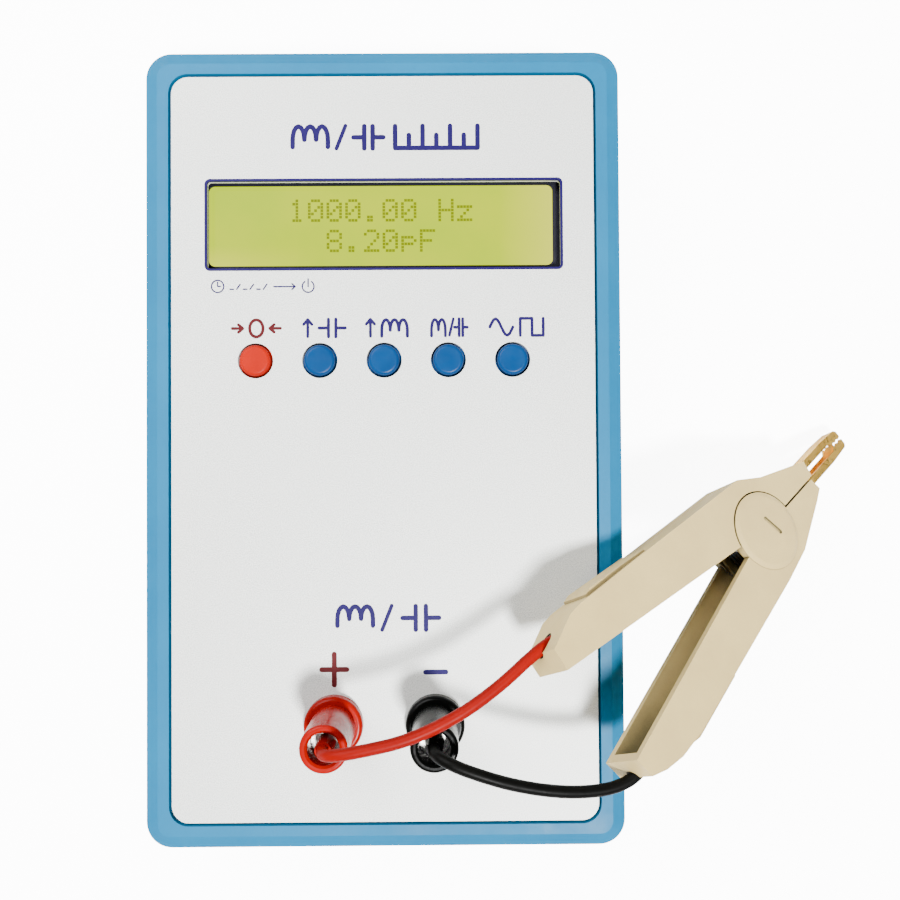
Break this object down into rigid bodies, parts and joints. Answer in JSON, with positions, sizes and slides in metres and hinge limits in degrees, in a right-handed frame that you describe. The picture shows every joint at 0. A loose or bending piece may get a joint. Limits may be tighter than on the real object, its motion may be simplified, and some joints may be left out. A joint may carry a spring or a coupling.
{
  "type": "lcr meter",
  "caption": "Hand-held inductance and capacitance meter lying on its back, with a two-line display, a row of push buttons, binding posts and a spring clip on two leads",
  "frame": {"origin": "centre of the back face the meter lies on", "axes": "+X right and +Y up the front panel towards the display, +Z out of the front panel"},
  "size_m": [0.1412, 0.1486, 0.0529],
  "materials": {
    "black_gloss_plastic": "polished",
    "blue_button_plastic": "semi gloss",
    "blue_shell_plastic": "satin moulded, fine texture",
    "brass_plate": "plated brass",
    "capacitor_film": "dipped",
    "cell_jacket": "printed film over steel",
    "circuit_board": "solder mask",
    "clip_beige_plastic": "satin moulded",
    "dark_plastic": "moulded",
    "lcd_glass": "display glass over a yellow-green film",
    "lead_black_pvc": "soft satin",
    "lead_red_pvc": "soft satin",
    "light_guide": "translucent diffuser",
    "nickel_plate": "plated, slightly dull",
    "orange_button_plastic": "semi gloss",
    "panel_plastic": "satin silver-white with a fine speckle",
    "red_gloss_plastic": "polished",
    "relay_plastic": "moulded block",
    "screw_steel": "zinc plated",
    "spring_steel": "blackened wire",
    "steel_bezel": "black oxide",
    "winding_enamel": "ferrite and enamelled wire",
    "zebra_rubber": "layered conductive rubber"
  },
  "bodies": {
    "root": {"battery_cells": "cell_jacket", "battery_contacts": "nickel_plate", "black_lead": "lead_black_pvc", "black_plug_boot": "black_gloss_plastic", "black_plug_pin": "nickel_plate", "black_post_base": "black_gloss_plastic", "black_post_stem": "nickel_plate", "black_post_washer": "dark_plastic", "board_screws": "screw_steel", "case_screws": "screw_steel", "clip_pivot_pin": "nickel_plate", "clip_spring": "spring_steel", "clip_upper_arm": "clip_beige_plastic", "clip_upper_jaw": "brass_plate", "crystal": "nickel_plate", "front_panel": "panel_plastic", "front_shell": "blue_shell_plastic", "lcd_backlight": "light_guide", "lcd_bezel": "steel_bezel", "lcd_board": "circuit_board", "lcd_contact_strips": "zebra_rubber", "lcd_glass": "lcd_glass", "lcd_header": "dark_plastic", "lcd_screws": "screw_steel", "main_board": "circuit_board", "microcontroller": "dark_plastic", "oscillator_chip": "dark_plastic", "post_nuts": "nickel_plate", "rear_shell": "blue_shell_plastic", "red_lead": "lead_red_pvc", "red_plug_boot": "red_gloss_plastic", "red_plug_pin": "nickel_plate", "red_post_base": "red_gloss_plastic", "red_post_stem": "nickel_plate", "red_post_washer": "dark_plastic", "reed_relay": "relay_plastic", "reference_capacitors": "capacitor_film", "reference_inductor": "winding_enamel", "switch_bodies": "dark_plastic", "switch_covers": "nickel_plate"},
    "zero_key": {"zero_button": "orange_button_plastic", "zero_plunger": "dark_plastic"},
    "capacitance_key": {"capacitance_button": "blue_button_plastic", "capacitance_plunger": "dark_plastic"},
    "inductance_key": {"inductance_button": "blue_button_plastic", "inductance_plunger": "dark_plastic"},
    "range_key": {"range_button": "blue_button_plastic", "range_plunger": "dark_plastic"},
    "function_key": {"function_button": "blue_button_plastic", "function_plunger": "dark_plastic"},
    "red_cap_travel": {"red_post_insert": "nickel_plate"},
    "red_cap_turn": {"red_post_cap": "red_gloss_plastic"},
    "black_cap_travel": {"black_post_insert": "nickel_plate"},
    "black_cap_turn": {"black_post_cap": "black_gloss_plastic"},
    "door": {"battery_door": "blue_shell_plastic"},
    "clip_lower": {"clip_lower_arm": "clip_beige_plastic", "clip_lower_jaw": "brass_plate"}
  },
  "joints": [
    {"name": "zero_press", "type": "slide", "parent": "root", "child": "zero_key", "axis": [0, 0, -1], "range_m": [0, 0.0005], "stiffness_N_per_m": 400, "springref_m": -0.001},
    {"name": "capacitance_press", "type": "slide", "parent": "root", "child": "capacitance_key", "axis": [0, 0, -1], "range_m": [0, 0.0005], "stiffness_N_per_m": 400, "springref_m": -0.001},
    {"name": "inductance_press", "type": "slide", "parent": "root", "child": "inductance_key", "axis": [0, 0, -1], "range_m": [0, 0.0005], "stiffness_N_per_m": 400, "springref_m": -0.001},
    {"name": "range_press", "type": "slide", "parent": "root", "child": "range_key", "axis": [0, 0, -1], "range_m": [0, 0.0005], "stiffness_N_per_m": 400, "springref_m": -0.001},
    {"name": "function_press", "type": "slide", "parent": "root", "child": "function_key", "axis": [0, 0, -1], "range_m": [0, 0.0005], "stiffness_N_per_m": 400, "springref_m": -0.001},
    {"name": "red_cap_lift", "type": "slide", "parent": "root", "child": "red_cap_travel", "axis": [0, 0, 1], "range_m": [0, 0.002]},
    {"name": "red_cap_spin", "type": "hinge", "parent": "red_cap_travel", "child": "red_cap_turn", "pos_m": [-0.00947, -0.0514, 0.04], "axis": [0, 0, 1], "range_deg": [0, 720]},
    {"name": "black_cap_lift", "type": "slide", "parent": "root", "child": "black_cap_travel", "axis": [0, 0, 1], "range_m": [0, 0.002]},
    {"name": "black_cap_spin", "type": "hinge", "parent": "black_cap_travel", "child": "black_cap_turn", "pos_m": [0.00927, -0.0514, 0.04], "axis": [0, 0, 1], "range_deg": [0, 720]},
    {"name": "battery_door_slide", "type": "slide", "parent": "root", "child": "door", "axis": [0, -1, 0], "range_m": [0, 0.055]},
    {"name": "clip_pivot", "type": "hinge", "parent": "root", "child": "clip_lower", "pos_m": [0.071, -0.01785, 0.0207], "axis": [-0.4179, -0.3036, -0.8563], "range_deg": [0, 18], "stiffness_Nm_per_rad": 0.1, "springref_deg": -28.65, "deforming": ["clip_spring", "black_lead"]}
  ],
  "couplings": [
    {"joint": "red_cap_spin", "follows": "red_cap_lift", "rad_per_m": 6283.2},
    {"joint": "black_cap_spin", "follows": "black_cap_lift", "rad_per_m": 6283.2}
  ]
}
